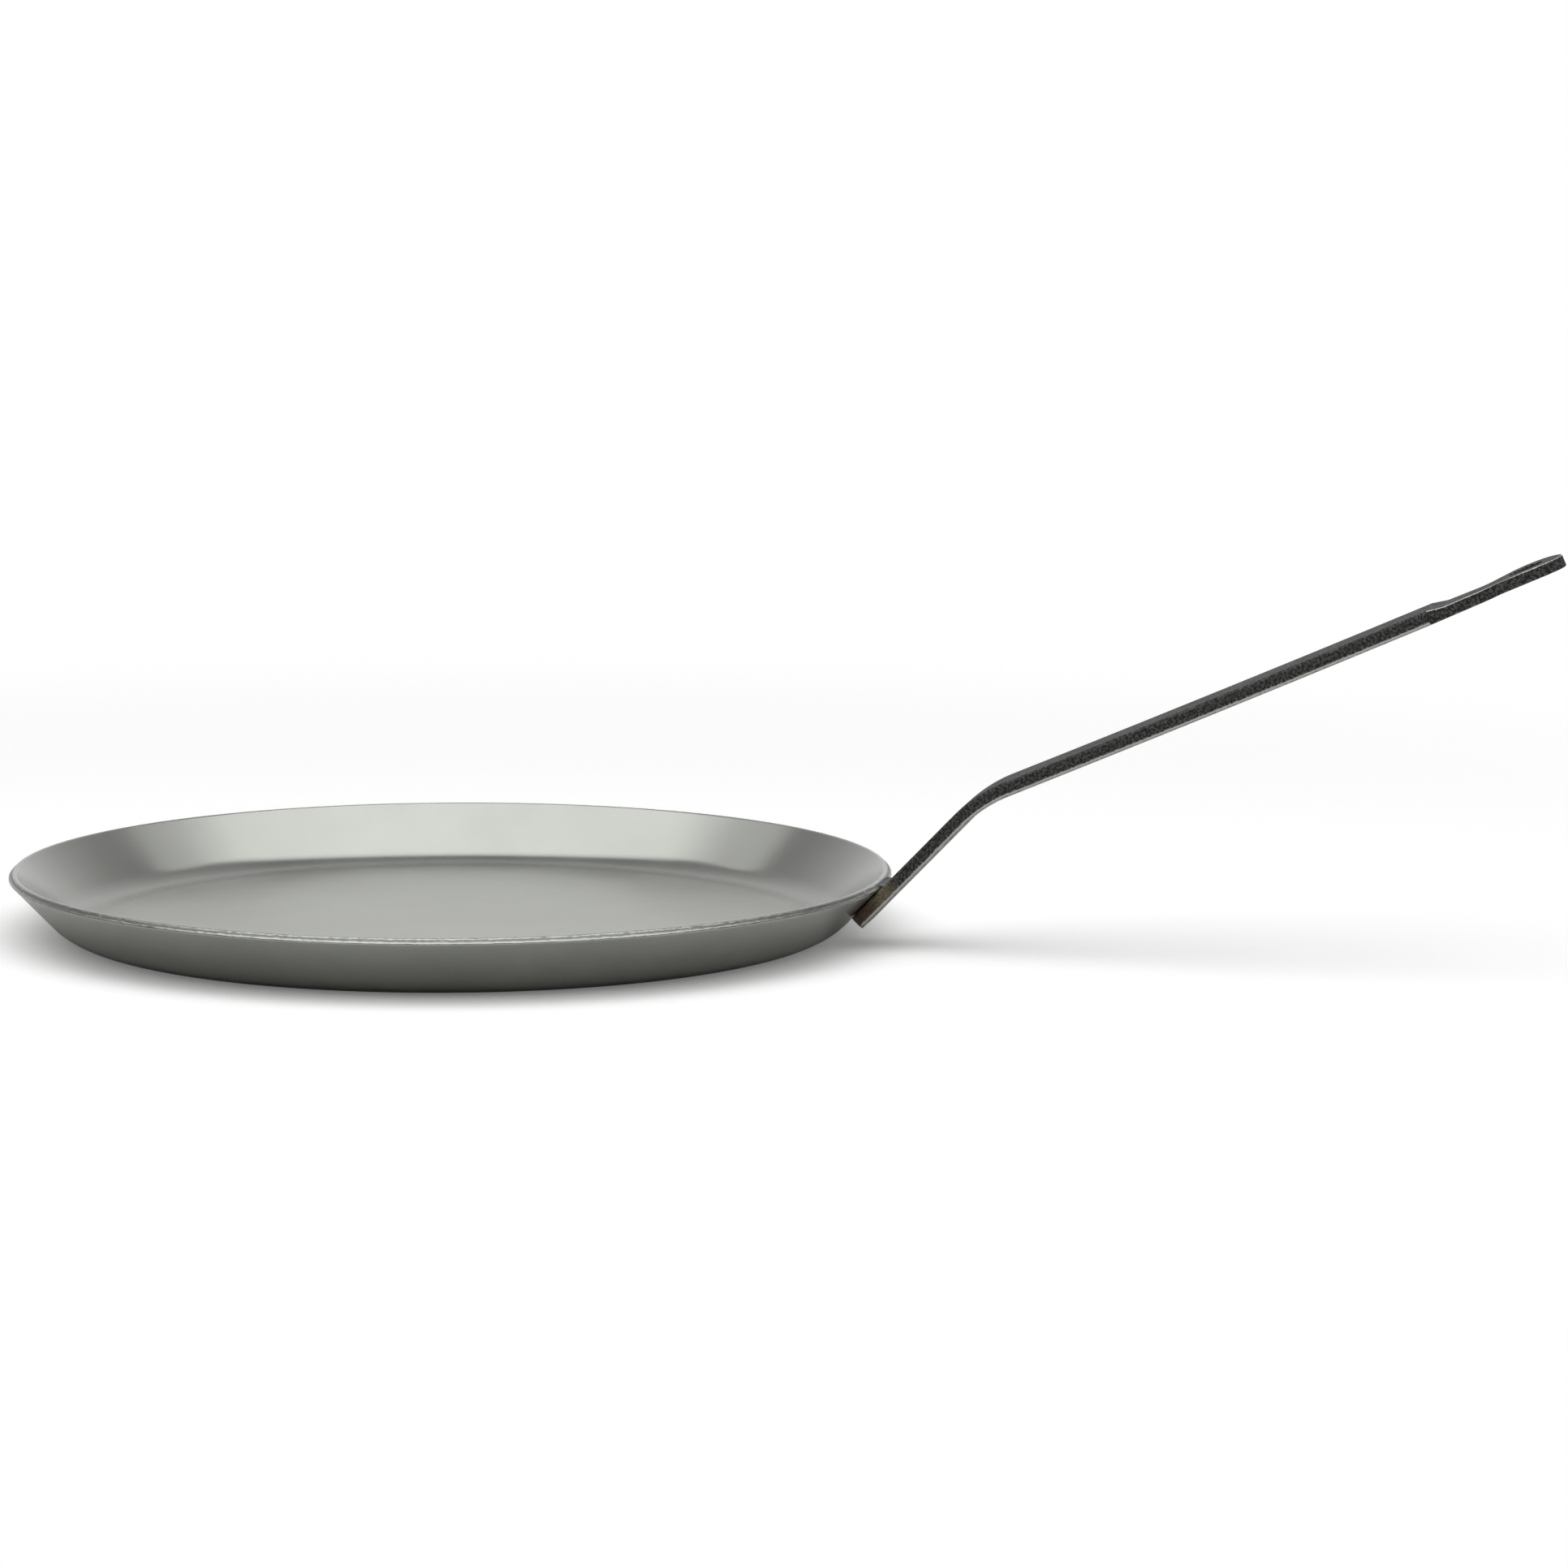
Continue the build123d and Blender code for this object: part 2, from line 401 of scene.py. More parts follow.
def dishSection():
    # points from the floor's middle over the rim to the underside's middle, and how far up the
    # wall and through the sheet each lies from the rim's outer corner
    s = dishSettings
    wall, n = s["wallAngle"], s["bendSteps"]
    inEdge, outEdge = s["innerEdge"], s["outerEdge"]
    rimOuter, along, across = rimCorner()
    rimInner = rimOuter + across * s["sheet"]
    outerBend = s["innerBend"] + s["sheet"]
    wallLength = (rimOuter.y - outerBend * (1 - across.y)) / along.y
    foot = rimOuter - along * wallLength
    flat = foot.x - outerBend * along.y
    centre = Vector((flat, outerBend))
    points = []

    def line(start, end, stops):
        points.extend(start.lerp(end, t) for t in stops)

    def arc(middle, radius, first, last, steps):
        for i in range(steps + 1):
            turn = radians(first + (last - first) * i / steps)
            points.append(middle + Vector((cos(turn), sin(turn))) * radius)

    line(Vector((0, s["sheet"])), Vector((flat, s["sheet"])), s["floorStops"])
    arc(centre, s["innerBend"], -90, wall - 90, n)
    line(centre - across * s["innerBend"], rimInner - along * inEdge, s["innerWallStops"])
    arc(rimInner - (along + across) * inEdge, inEdge, wall + 90, wall, 2 * s["edgeSteps"])
    line(rimInner - across * inEdge, rimOuter + across * outEdge, s["cutStops"])
    arc(rimOuter - (along - across) * outEdge, outEdge, wall, wall - 90, s["edgeSteps"])
    line(rimOuter - along * outEdge, foot, s["outerWallStops"])
    arc(centre, outerBend, wall - 90, -90, n)
    line(Vector((flat, 0)), Vector((0, 0)), s["undersideStops"])
    fromCorner = [point - rimOuter for point in points]
    return points, [(gap.dot(along), gap.dot(across)) for gap in fromCorner]


def latheTree():
    # spins the section round the axis, closes it, and wears the cut rim
    floats = ("Wear Depth", "Wear Size", "Wear Start", "Wear Full", "Rim Radius")
    sockets = {"Int": ("Steps Round", "Seed"), "Float": floats, "Material": ("Material",)}
    tree, given = newTree("spinSection", sockets)
    add = partial(addNode, tree)
    section = given["Geometry"]
    spot = add("GeometryNodeInputPosition")
    count = add("GeometryNodeAttributeDomainSize", {"Geometry": section})
    rows = add("ShaderNodeMath", (given["Steps Round"], 1.0), operation="ADD")
    grid = add("GeometryNodeMeshGrid", {"Vertices X": rows, "Vertices Y": count})

    # which step round the axis and which point of the section each grid point stands for
    index = add("GeometryNodeInputIndex")
    row = add("ShaderNodeMath", (index, 0.5), operation="ADD")
    row = add("ShaderNodeMath", (row, count), operation="DIVIDE")
    row = add("ShaderNodeMath", (row,), operation="FLOOR")
    before = add("ShaderNodeMath", (row, count), operation="MULTIPLY")
    column = add("ShaderNodeMath", (index, before), operation="SUBTRACT")
    share = add("ShaderNodeMath", (row, given["Steps Round"]), operation="DIVIDE")
    turn = add("ShaderNodeMath", (share, 2 * pi), operation="MULTIPLY")
    marks = add(
        "GeometryNodeInputNamedAttribute", {"Name": "cutPlace"}, data_type="FLOAT_VECTOR"
    )
    point, mark = (
        add(
            "GeometryNodeSampleIndex",
            {"Geometry": section, "Value": value, "Index": column},
            data_type="FLOAT_VECTOR",
        )
        for value in (spot, marks)
    )
    spun = add(
        "ShaderNodeVectorRotate", {"Vector": point, "Angle": turn}, rotation_type="Z_AXIS"
    )

    # cutPlace: way round the rim, depth from the cut and place across the sheet
    way = add("ShaderNodeMath", (turn, given["Rim Radius"]), operation="MULTIPLY")
    way = add("ShaderNodeCombineXYZ", (way,))
    strip = add("ShaderNodeVectorMath", (way, mark), operation="ADD")
    kept = add(
        "GeometryNodeStoreNamedAttribute",
        {"Geometry": grid, "Name": "cutPlace", "Value": strip},
        data_type="FLOAT_VECTOR",
        domain="POINT",
    )
    placed = add("GeometryNodeSetPosition", {"Geometry": kept, "Position": spun})
    closed = add("GeometryNodeMergeByDistance", {"Geometry": placed, "Distance": weldDistance})

    # cut edge: shallow irregular wear that fades out a few millimetres in from the rim
    noise = add(
        "ShaderNodeTexNoise",
        {"Vector": spot, "W": given["Seed"], "Scale": given["Wear Size"], "Detail": 3.0},
        noise_dimensions="4D",
    )
    level = add("ShaderNodeVectorMath", (spot, (1, 1, 0)), operation="MULTIPLY")
    radius = add("ShaderNodeVectorMath", (level,), operation="LENGTH")
    start, full = (
        add("ShaderNodeMath", (given["Rim Radius"], given[name]), operation="SUBTRACT")
        for name in ("Wear Start", "Wear Full")
    )
    near = add("ShaderNodeMapRange", {"Value": radius, "From Min": start, "From Max": full})
    depth = add("ShaderNodeMath", (near, given["Wear Depth"]), operation="MULTIPLY")
    low = add("ShaderNodeMath", (noise, noiseTop), operation="SUBTRACT")
    push = add("ShaderNodeMath", (low, depth), operation="MULTIPLY")
    normal = add("GeometryNodeInputNormal")
    offset = add("ShaderNodeVectorMath", {0: normal, "Scale": push}, operation="SCALE")
    worn = add("GeometryNodeSetPosition", {"Geometry": closed, "Offset": offset})
    smooth = add("GeometryNodeSetShadeSmooth", {"Geometry": worn})
    finishTree(tree, smooth, given["Material"])
    return tree


def makeDish():
    s = dishSettings
    points, marks = dishSection()
    links = [(i, i + 1) for i in range(len(points) - 1)]
    base = bpy.data.meshes.new("dishSection")
    base.from_pydata([(p.x * mm, 0, p.y * mm) for p in points], links, [])
    place = base.attributes.new("cutPlace", "FLOAT_VECTOR", "POINT")
    for datum, (up, through) in zip(place.data, marks):
        datum.vector = (0, -up * mm, through * mm)
    values = {
        "Steps Round": s["stepsRound"],
        "Wear Depth": s["wearDepth"] * mm,
        "Wear Size": 1 / (s["wearSize"] * mm),
        "Wear Start": s["wearStart"] * mm,
        "Wear Full": s["wearFull"] * mm,
        "Rim Radius": s["rimRadius"] * mm,
        "Seed": s["seed"],
        "Material": satinSteel(),
    }
    handOver(runTree("dishShell", latheTree(), base, values), "dish")


handleSettings = {
    # millimetres and degrees, as in the part's source
    "width": 20.0,
    "thickness": 4.0,
    "edgeRadius": 1.0,
    "tailOverlap": 10.8,
    "tailRise": 36.9,
    "bendRadius": 37.5,
    "gripAngle": 23.0,
    "bowRadius": 8000.0,
    "gripLength": 130.5,
    "tabThickness": 3.2,
    "tabLength": 38.0,
    "tabRadius": 10.4,
    "tabEdge": 0.35,
    "rampLength": 4.5,
    "crown": 0.5,
    "crownLength": 11.5,
    "crownBlend": 60.0,
    "shoulderInset": 1.0,
    "shoulderRun": 0.3,
    "neckTaper": 10.0,
    "neckFillet": 12.0,
    "holeRadius": 5.0,
    # facets: length of a station, and steps across the bar, round and down an edge, along half
    # of the waist and of the round end, and from the outline in to the hole
    "station": 0.8,
    "acrossSteps": 24,
    "arcSteps": 8,
    "sideSteps": 4,
    "waistSteps": 15,
    "roundSteps": 45,
    "radialSteps": 8,
    # sawn tail: place of each ring, and how far its edge is drawn in
    "tailRings": ((0.0, 0.25), (0.07, 0.07), (0.25, 0.0)),
    # how bare the edges are rubbed, lower then upper, and the least share of that on a lower one
    "tailWear": (0.7, 0.0),
    "barWear": (1.0, 0.0),
    "tabWear": (0.3, 0.8),
    "holeWear": (0.2, 0.3),
    "wearFloor": 0.35,
    # unevenness of the rolled bar and of its coat
    "waveDepth": 0.04,
    "waveSize": 14.0,
    "grainDepth": 0.012,
    "grainSize": 1.8,
    "grainSeed": 5.0,
    "creaseAngle": 40,
    "seed": 3,
}


coatSettings = {
    # noise patterns, with their scale per metre: patches of 6 mm, and the coat's grain, which is
    # about 0.5 mm and is drawn at 0.7 mm so that it shows
    "grain": {"Scale": 1400.0, "Detail": 4.0, "Roughness": 0.65},
    "patch": {"Scale": 160.0, "Detail": 4.0, "Roughness": 0.6},
    # most of a noise lies between the values of noiseSpan
    "noiseSpan": {"From Min": 0.3, "From Max": 0.7},
    "coatSpan": {"From Min": 0.45, "From Max": 0.59},
    "coat": {6: "#070707", 7: "#5C5C5A"},
    "burnt": {6: "#33241C", 7: "#6E5648"},
    "straw": {6: "#403B29", 7: "#8E886C"},
    "bareTint": "#D2D2CE",
    # weld heat along the bar, in metres from the tail: where brown ends and where straw ends
    "heatWander": {"To Min": -0.002, "To Max": 0.002},
    "burntSpan": {"From Min": 0.0050, "From Max": 0.0085},
    "strawSpan": {"From Min": 0.0120, "From Max": 0.0165},
    "bareWander": {"To Min": -0.25, "To Max": 0.25},
    "bareSpan": {"From Min": 0.25, "From Max": 0.75},
    "bareMetal": 0.9,
    "roughness": {"To Min": 0.5, "To Max": 0.62},
    "barePolish": 0.15,
    "bump": {"Strength": 0.7, "Distance": 0.0003},
    "ior": 1.5,
}


def blackCoat():
    # baked black coat on hot rolled steel: dull and finely grained, rubbed to grey metal along
    # the low edges
    s = coatSettings
    material, tree = newMaterial("black baked coat on hot rolled steel")
    add = partial(addNode, tree)
    place = add("ShaderNodeAttribute", attribute_name="blankPlace").outputs["Vector"]
    wear = add("ShaderNodeAttribute", attribute_name="edgeWear").outputs["Fac"]
    along = add("ShaderNodeSeparateXYZ", (place,)).outputs[0]
    grain = add("ShaderNodeTexNoise", {"Vector": place, **s["grain"]})
    patch = add("ShaderNodeTexNoise", {"Vector": place, **s["patch"]})
    fleck = add("ShaderNodeMapRange", {"Value": grain, **s["coatSpan"]})
    speck = add("ShaderNodeMapRange", {"Value": grain, **s["noiseSpan"]})
    coat = add("ShaderNodeMix", {0: fleck, **s["coat"]}, data_type="RGBA")

    # weld heat: brown at the tail, straw above it, then the coat
    wander = add("ShaderNodeMapRange", {"Value": patch, **s["noiseSpan"], **s["heatWander"]})
    heat = add("ShaderNodeMath", (along, wander), operation="ADD")
    burnt = add("ShaderNodeMix", {0: speck, **s["burnt"]}, data_type="RGBA")
    straw = add("ShaderNodeMix", {0: speck, **s["straw"]}, data_type="RGBA")
    past = add("ShaderNodeMapRange", {"Value": heat, **s["burntSpan"]})
    tint = add("ShaderNodeMix", {0: past, 6: burnt, 7: straw}, data_type="RGBA")
    past = add("ShaderNodeMapRange", {"Value": heat, **s["strawSpan"]})
    tint = add("ShaderNodeMix", {0: past, 6: tint, 7: coat}, data_type="RGBA")

    # rubbed edges: the coat thins to bare steel
    uneven = add("ShaderNodeMapRange", {"Value": grain, **s["noiseSpan"], **s["bareWander"]})
    bare = add("ShaderNodeMath", (wear, uneven), operation="ADD")
    bare = add("ShaderNodeMapRange", {"Value": bare, **s["bareSpan"]})
    tint = add("ShaderNodeMix", {0: bare, 6: tint, 7: s["bareTint"]}, data_type="RGBA")
    metal = add("ShaderNodeMath", (bare, s["bareMetal"]), operation="MULTIPLY")
    rough = add("ShaderNodeMapRange", {"Value": patch, **s["noiseSpan"], **s["roughness"]})
    polish = add("ShaderNodeMath", (bare, s["barePolish"]), operation="MULTIPLY")
    rough = add("ShaderNodeMath", (rough, polish), operation="SUBTRACT")
    bump = add("ShaderNodeBump", {"Height": grain, **s["bump"]})
    shader = add(
        "ShaderNodeBsdfPrincipled",
        {
            "Base Color": tint,
            "Metallic": metal,
            "Roughness": rough,
            "IOR": s["ior"],
            "Normal": bump,
        },
    )
    add("ShaderNodeOutputMaterial", (shader,))
    return material


def tabCrown(x):
    # lift of the tab's underside, x from the shoulder: flat, blended, then one arc round the hole
    h = handleSettings
    middle = h["tabLength"] - h["tabRadius"]
    radius = (h["crownLength"] ** 2 + h["crown"] ** 2) / (2 * h["crown"])
    drop = radius - h["crown"]
    reach = sqrt((radius + h["crownBlend"]) ** 2 - (drop + h["crownBlend"]) ** 2)
    start = middle - reach
    meet = middle - reach * radius / (radius + h["crownBlend"])
    if x < start:
        return 0
    if x < meet:
        return h["crownBlend"] - sqrt(h["crownBlend"] ** 2 - (x - start) ** 2)
    return sqrt(radius**2 - (x - middle) ** 2) - drop


def tabLevels(x):
    # underside and top of the tab, with the ramp up to the bar's top
    h = handleSettings
    under = tabCrown(x) - h["thickness"] / 2
    ramp = max(0, 1 - x / h["rampLength"])
    return under, under + h["tabThickness"] + ramp * (h["thickness"] - h["tabThickness"])


def tabOutline():
    # half outline past the waist: the hole's place, points with their outward directions, and
    # the waist's start and centre
    h = handleSettings
    hole = Vector((h["tabLength"] - h["tabRadius"], 0))
    taper = radians(h["neckTaper"])
    shoulder = h["width"] / 2 - h["shoulderInset"]
    down, out = Vector((cos(taper), -sin(taper))), Vector((sin(taper), cos(taper)))
    offset = h["neckFillet"] + shoulder * out.y
    reach = h["tabRadius"] + h["neckFillet"]
    step = hole.dot(down) - sqrt(reach**2 - (offset - hole.dot(out)) ** 2)
    centre = down * step + out * offset
    join = (hole - centre).normalized()
    rows = []
    steps = h["waistSteps"]
    first, last = -pi / 2, atan2(join.y, join.x)
    for i in range(steps + 1):
        turn = first + (last - first) * i / steps
        way = Vector((cos(turn), sin(turn)))
        rows.append((centre + way * h["neckFillet"], -way))
    steps = h["roundSteps"]
    start = atan2(-join.y, -join.x)
    for i in range(1, steps + 1):
        turn = start * (1 - i / steps)
        way = Vector((cos(turn), sin(turn)))
        rows.append((hole + way * h["tabRadius"], way))
    return hole, rows, (centre - out * h["neckFillet"], centre)


def neckHalf(x, taperEnd, centre):
    # half width of the neck at x from the shoulder: its taper, then the round of the waist
    h = handleSettings
    if x < taperEnd.x:
        return h["width"] / 2 - h["shoulderInset"] - x * tan(radians(h["neckTaper"]))
    return centre.y - sqrt(h["neckFillet"] ** 2 - (x - centre.x) ** 2)


def edgePoints(at, way, under, top, radius, wear):
    # down one edge of the bar, from the top face to the underside, at a point of the outline
    # that faces a given way; each point also says how far its coat is rubbed off
    h = handleSettings
    n = h["arcSteps"]
    inner = at - way * radius
    lowWear, topWear = wear
    points = []
    for i in range(n + 1):
        turn = pi / 2 * i / n
        spot = inner + way * (sin(turn) * radius)
        level = top - (1 - cos(turn)) * radius
        points.append((spot.x, spot.y, level, topWear * sin(pi * i / n)))
    for i in range(1, h["sideSteps"]):
        level = (top - radius) + (under - top + 2 * radius) * i / h["sideSteps"]
        points.append((at.x, at.y, level, 0.0))
    for i in range(n, -1, -1):
        turn = pi / 2 * i / n
        spot = inner + way * (sin(turn) * radius)
        level = under + (1 - cos(turn)) * radius
        rubbed = h["wearFloor"] + (1 - h["wearFloor"]) * abs(sin(2 * pi * i / n))
        points.append((spot.x, spot.y, level, lowWear * rubbed))
    return points


def ringPoints(x, width, under, top, radius, wear):
    # once round the bar at x, for a half width
    n = handleSettings["acrossSteps"]
    right = edgePoints(Vector((x, width)), Vector((0, 1)), under, top, radius, wear)
    left = edgePoints(Vector((x, -width)), Vector((0, -1)), under, top, radius, wear)
    across = [(2 * i / n - 1) * (width - radius) for i in range(1, n)]
    points = [(x, y, top, 0.0) for y in across] + right
    return points + [(x, -y, under, 0.0) for y in across] + left[::-1]


def spokePoints(start, way, hole):
    # from the tab's outline over its top, through the hole and back below, towards the hole
    h = handleSettings
    n, edge = h["radialSteps"], h["tabEdge"]
    inward = (hole - start).normalized()
    finish = hole - inward * (h["holeRadius"] + edge)
    spots = [start.lerp(finish, i / n) for i in range(n)]
    mouth = hole - inward * h["holeRadius"]
    points = [(spot.x, spot.y, tabLevels(spot.x)[1], 0.0) for spot in spots]
    points += edgePoints(mouth, inward, *tabLevels(finish.x), edge, h["holeWear"])
    points += [(spot.x, spot.y, tabLevels(spot.x)[0], 0.0) for spot in reversed(spots)]
    if way:
        rim = edgePoints(start + way * edge, way, *tabLevels(start.x), edge, h["tabWear"])
        points = rim[::-1] + points
    return points


def makeBlank():
    # the handle as a flat blank: X from the tail's end, Y across, Z through the bar
    h = handleSettings
    half, edge = h["thickness"] / 2, h["edgeRadius"]
    turn = radians(dishSettings["wallAngle"] - h["gripAngle"])
    corner = h["bendRadius"] * tan(turn / 2)
    tail = h["tailOverlap"] + h["tailRise"] - corner
    grip = h["gripLength"] - corner
    barLength = tail + h["bendRadius"] * turn + grip
    mesh = bmesh.new()
    wearLayer = mesh.verts.layers.float.new("edgeWear")

    def vertices(points, shift=0.0):
        made = []
        for x, y, z, wear in points:
            made.append(mesh.verts.new(((shift + x) * mm, y * mm, z * mm)))
            made[-1][wearLayer] = wear
        return made

    def skin(first, second):
        for i in range(len(first) - 1):
            mesh.faces.new((first[i], first[i + 1], second[i + 1], second[i]))

    # bar and neck: one ring a station, closed round
    rings = []
    for x, inset in h["tailRings"]:
        size = (h["width"] / 2 - inset, inset - half, half - inset, edge - inset)
        rings.append(ringPoints(x, *size, h["tailWear"]))
    start = h["tailRings"][-1][0]
    count = ceil(barLength / h["station"])
    for i in range(1, count + 1):
        x = start + (barLength - start) * i / count
        rings.append(ringPoints(x, h["width"] / 2, -half, half, edge, h["barWear"]))
    rings = [vertices(points) for points in rings]
    hole, outline, (taperEnd, centre) = tabOutline()
    waist, edge = centre.x, h["tabEdge"]
    count = ceil(waist / h["station"])
    for i in range(count + 1):
        x = max(waist * i / count, h["shoulderRun"])
        size = (neckHalf(x, taperEnd, centre), *tabLevels(x), edge)
        rings.append(vertices(ringPoints(barLength + x, *size, h["tabWear"])))
    for first, second in zip(rings, rings[1:]):
        skin(first + first[:1], second + second[:1])
    mesh.faces.new(rings[0][::-1])

    # hanging end: spokes from the outline in to the hole
    n = h["acrossSteps"]
    width = neckHalf(waist, taperEnd, centre) - edge
    spokes = [(Vector((waist, width * (2 * i / n - 1))), None) for i in range(n)]
    mirrored = [(Vector((p.x, -p.y)), Vector((w.x, -w.y))) for p, w in reversed(outline[:-1])]
    spokes.append((Vector((waist, width)), outline[0][1]))
    spokes += [(p - w * edge, w) for p, w in outline[1:] + mirrored]
    loops = [vertices(spokePoints(at, way, hole), barLength) for at, way in spokes]
    extra = len(loops[-1]) - len(loops[0])
    for first, second in zip(loops, loops[1:]):
        if len(first) < len(second):
            second = second[extra:]
        skin(first, second)
    bmesh.ops.remove_doubles(mesh, verts=mesh.verts, dist=weldDistance)
    bmesh.ops.recalc_face_normals(mesh, faces=mesh.faces)
    data = bpy.data.meshes.new("handleBlank")
    mesh.to_mesh(data)
    openEdges = [e for e in mesh.edges if len(e.link_faces) != 2]
    print("handle blank done:", len(mesh.faces), "faces,", len(openEdges), "open edges")
    mesh.free()
    return data, tail, h["bendRadius"] * turn, grip


def bendTree():
    # bends the flat blank as a smith does: straight tail, round bend, slightly bowed grip and
    # straight tab
    lengths = ("Tail Angle", "Tail Length", "Bend Radius", "Bend Length", "Bow Radius")
    lengths += ("Grip Length", "Wave Depth", "Wave Size", "Grain Depth", "Grain Size")
    lengths += ("Grain Seed", "Crease Angle")
    sockets = {"Vector": ("Start",), "Float": lengths, "Int": ("Seed",)}
    tree, given = newTree("bendBlank", {**sockets, "Material": ("Material",)})
    add = partial(addNode, tree)
    spot = add("GeometryNodeInputPosition")
    kept = add(
        "GeometryNodeStoreNamedAttribute",
        {"Geometry": given["Geometry"], "Name": "blankPlace", "Value": spot},
        data_type="FLOAT_VECTOR",
        domain="POINT",
    )

    # rolling leaves a slow wave, and the coat a fine grain, both inwards
    def unevenness(size, depth, detail, seed):
        often = add("ShaderNodeMath", (1.0, given[size]), operation="DIVIDE")
        noise = add(
            "ShaderNodeTexNoise",
            {"Vector": spot, "W": seed, "Scale": often, "Detail": detail},
            noise_dimensions="4D",
        )
        low = add("ShaderNodeMath", (noise, noiseTop), operation="SUBTRACT")
        return add("ShaderNodeMath", (low, given[depth]), operation="MULTIPLY")

    grainSeed = add("ShaderNodeMath", (given["Seed"], given["Grain Seed"]), operation="ADD")
    wave = unevenness("Wave Size", "Wave Depth", detail=1.0, seed=given["Seed"])
    grain = unevenness("Grain Size", "Grain Depth", detail=2.0, seed=grainSeed)
    push = add("ShaderNodeMath", (wave, grain), operation="ADD")
    normal = add("GeometryNodeInputNormal")
    offset = add("ShaderNodeVectorMath", {0: normal, "Scale": push}, operation="SCALE")
    uneven = add("GeometryNodeSetPosition", {"Geometry": kept, "Offset": offset})

    # how far along each stretch a point lies, and which way the bar heads there
    parts = add("ShaderNodeSeparateXYZ", (spot,)).outputs
    known = {socket.name: socket for socket in given}
    known.update(x=parts["X"], y=parts["Y"], z=parts["Z"])
    for name, operation, first, second in (
        ("inTail", "MINIMUM", "x", "Tail Length"),
        ("pastTail", "SUBTRACT", "x", "Tail Length"),
        ("afterTail", "MAXIMUM", "pastTail", 0.0),
        ("inBend", "MINIMUM", "afterTail", "Bend Length"),
        ("pastBend", "SUBTRACT", "pastTail", "Bend Length"),
        ("afterBend", "MAXIMUM", "pastBend", 0.0),
        ("inGrip", "MINIMUM", "afterBend", "Grip Length"),
        ("pastGrip", "SUBTRACT", "pastBend", "Grip Length"),
        ("inTab", "MAXIMUM", "pastGrip", 0.0),
        ("turned", "DIVIDE", "inBend", "Bend Radius"),
        ("middle", "SUBTRACT", "Tail Angle", "turned"),
        ("fullTurn", "DIVIDE", "Bend Length", "Bend Radius"),
        ("lowest", "SUBTRACT", "Tail Angle", "fullTurn"),
        ("bow", "DIVIDE", "inGrip", "Bow Radius"),
        ("bowed", "ADD", "lowest", "bow"),
        ("raised", "SUBTRACT", "bowed", "lowest"),
        ("angle", "ADD", "middle", "raised"),
        ("square", "ADD", "angle", pi / 2),
        ("downBend", "MULTIPLY", "Bend Radius", -1.0),
    ):
        pair = (known.get(first, first), known.get(second, second))
        known[name] = add("ShaderNodeMath", pair, operation=operation)

    def arm(length, turn):
        # a straight stretch
        rise = {}
        for axis, operation in ((0, "COSINE"), (2, "SINE")):
            share = add("ShaderNodeMath", (known[turn],), operation=operation)
            rise[axis] = add("ShaderNodeMath", (known[length], share), operation="MULTIPLY")
        return add("ShaderNodeCombineXYZ", rise)

    def arcStep(radius, start, end):
        # an arc that turns left for a positive radius R goes R (sin b - sin a, cos a - cos b)
        rise = {}
        for axis, operation, pair in ((0, "SINE", (end, start)), (2, "COSINE", (start, end))):
            ends = [add("ShaderNodeMath", (known[one],), operation=operation) for one in pair]
            gap = add("ShaderNodeMath", ends, operation="SUBTRACT")
            rise[axis] = add("ShaderNodeMath", (known[radius], gap), operation="MULTIPLY")
        return add("ShaderNodeCombineXYZ", rise)

    place = given["Start"]
    for stretch in (
        arm("inTail", "Tail Angle"),
        arcStep("downBend", "Tail Angle", "middle"),
        arcStep("Bow Radius", "lowest", "bowed"),
        arm("inTab", "angle"),
        arm("z", "square"),
        add("ShaderNodeCombineXYZ", {1: parts["Y"]}),
    ):
        place = add("ShaderNodeVectorMath", (place, stretch), operation="ADD")
    bent = add("GeometryNodeSetPosition", {"Geometry": uneven, "Position": place})
    smooth = add("GeometryNodeSetShadeSmooth", {"Geometry": bent})
    fold = add("GeometryNodeInputMeshEdgeAngle")
    sharp = add("ShaderNodeMath", (fold, given["Crease Angle"]), operation="GREATER_THAN")
    creased = add(
        "GeometryNodeSetShadeSmooth",
        {"Geometry": smooth, "Selection": sharp, "Shade Smooth": False},
        domain="EDGE",
    )
    finishTree(tree, creased, given["Material"])
    return tree


def makeHandle():
    h = handleSettings
    blank, tail, bend, grip = makeBlank()
    corner, along, across = rimCorner()
    start = corner - along * h["tailOverlap"] - across * (h["thickness"] / 2)
    values = {
        "Start": (start.x * mm, 0.0, start.y * mm),
        "Tail Angle": radians(dishSettings["wallAngle"]),
        "Tail Length": tail * mm,
        "Bend Radius": h["bendRadius"] * mm,
        "Bend Length": bend * mm,
        "Bow Radius": h["bowRadius"] * mm,
        "Grip Length": grip * mm,
        "Wave Depth": h["waveDepth"] * mm,
        "Wave Size": h["waveSize"] * mm,
        "Grain Depth": h["grainDepth"] * mm,
        "Grain Size": h["grainSize"] * mm,
        "Grain Seed": h["grainSeed"],
        "Crease Angle": radians(h["creaseAngle"]),
        "Seed": h["seed"],
        "Material": blackCoat(),
    }
    handOver(runTree("handleBar", bendTree(), blank, values), "handle")


beadSettings = {
    # millimetres: the first three as in the part's source; sink and seat are how far the bead
    # reaches into the rim and the bar
    "length": 12.0,
    "leg": 1.6,
    "crown": 0.3,
    "sink": 0.4,
    "seat": 0.05,
    "endLength": 1.2,
    "endShare": 0.25,
    "station": 0.1,
    "arcSteps": 10,
    "rippleDepth": 0.12,
    "ripplePitch": 1.1,
    "rippleBow": 0.35,
    # mottling of 1.7 mm, with its scale per metre
    "cloud": {"Scale": 600.0, "Detail": 3.0},
    "tints": {6: "#5A5C60", 7: "#86898E"},
    "roughness": 0.4,
}


